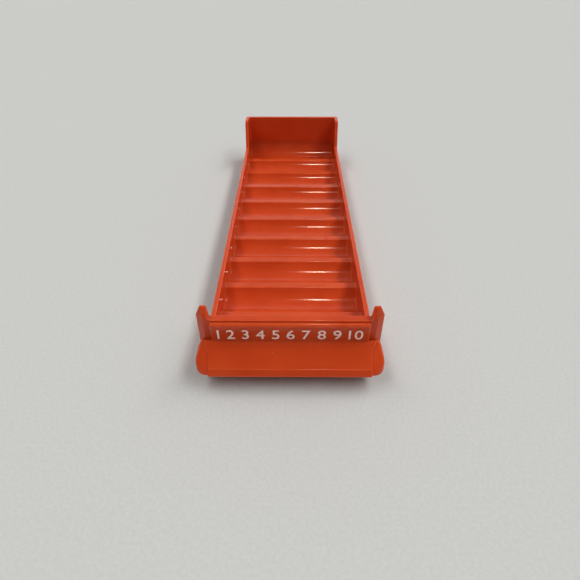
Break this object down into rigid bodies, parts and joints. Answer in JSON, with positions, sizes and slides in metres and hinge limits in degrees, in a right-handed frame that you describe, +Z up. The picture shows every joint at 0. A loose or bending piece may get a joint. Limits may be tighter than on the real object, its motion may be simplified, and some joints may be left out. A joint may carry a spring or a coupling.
{
  "type": "coin roll tray",
  "caption": "Open stacking tray with a row of rounded cradles for wrapped coin rolls, low side walls, a tall back and a front wall with a label panel and pull lip.",
  "frame": {"origin": "centre of the tray's outline on the table, under the bottom of the walls", "axes": "+X to the right, +Y from the pull lip to the back wall, +Z up"},
  "size_m": [0.0864, 0.274, 0.037],
  "materials": {
    "shell": "glossy moulded orange-red plastic with faint flow marks and worn edges",
    "marking": "thin white layer stamped on raised numbers"
  },
  "bodies": {
    "root": {"cradle_01": "shell", "cradle_02": "shell", "cradle_03": "shell", "cradle_04": "shell", "cradle_05": "shell", "cradle_06": "shell", "cradle_07": "shell", "cradle_08": "shell", "cradle_09": "shell", "cradle_10": "shell", "side_wall_left": "shell", "side_wall_right": "shell", "rear_wing_left": "shell", "rear_wing_right": "shell", "ear_left": "shell", "ear_right": "shell", "lip_corner_left": "shell", "lip_corner_right": "shell", "back_wall": "shell", "front_wall": "shell", "label_panel": "shell", "pull_lip": "shell"}
  },
  "joints": []
}
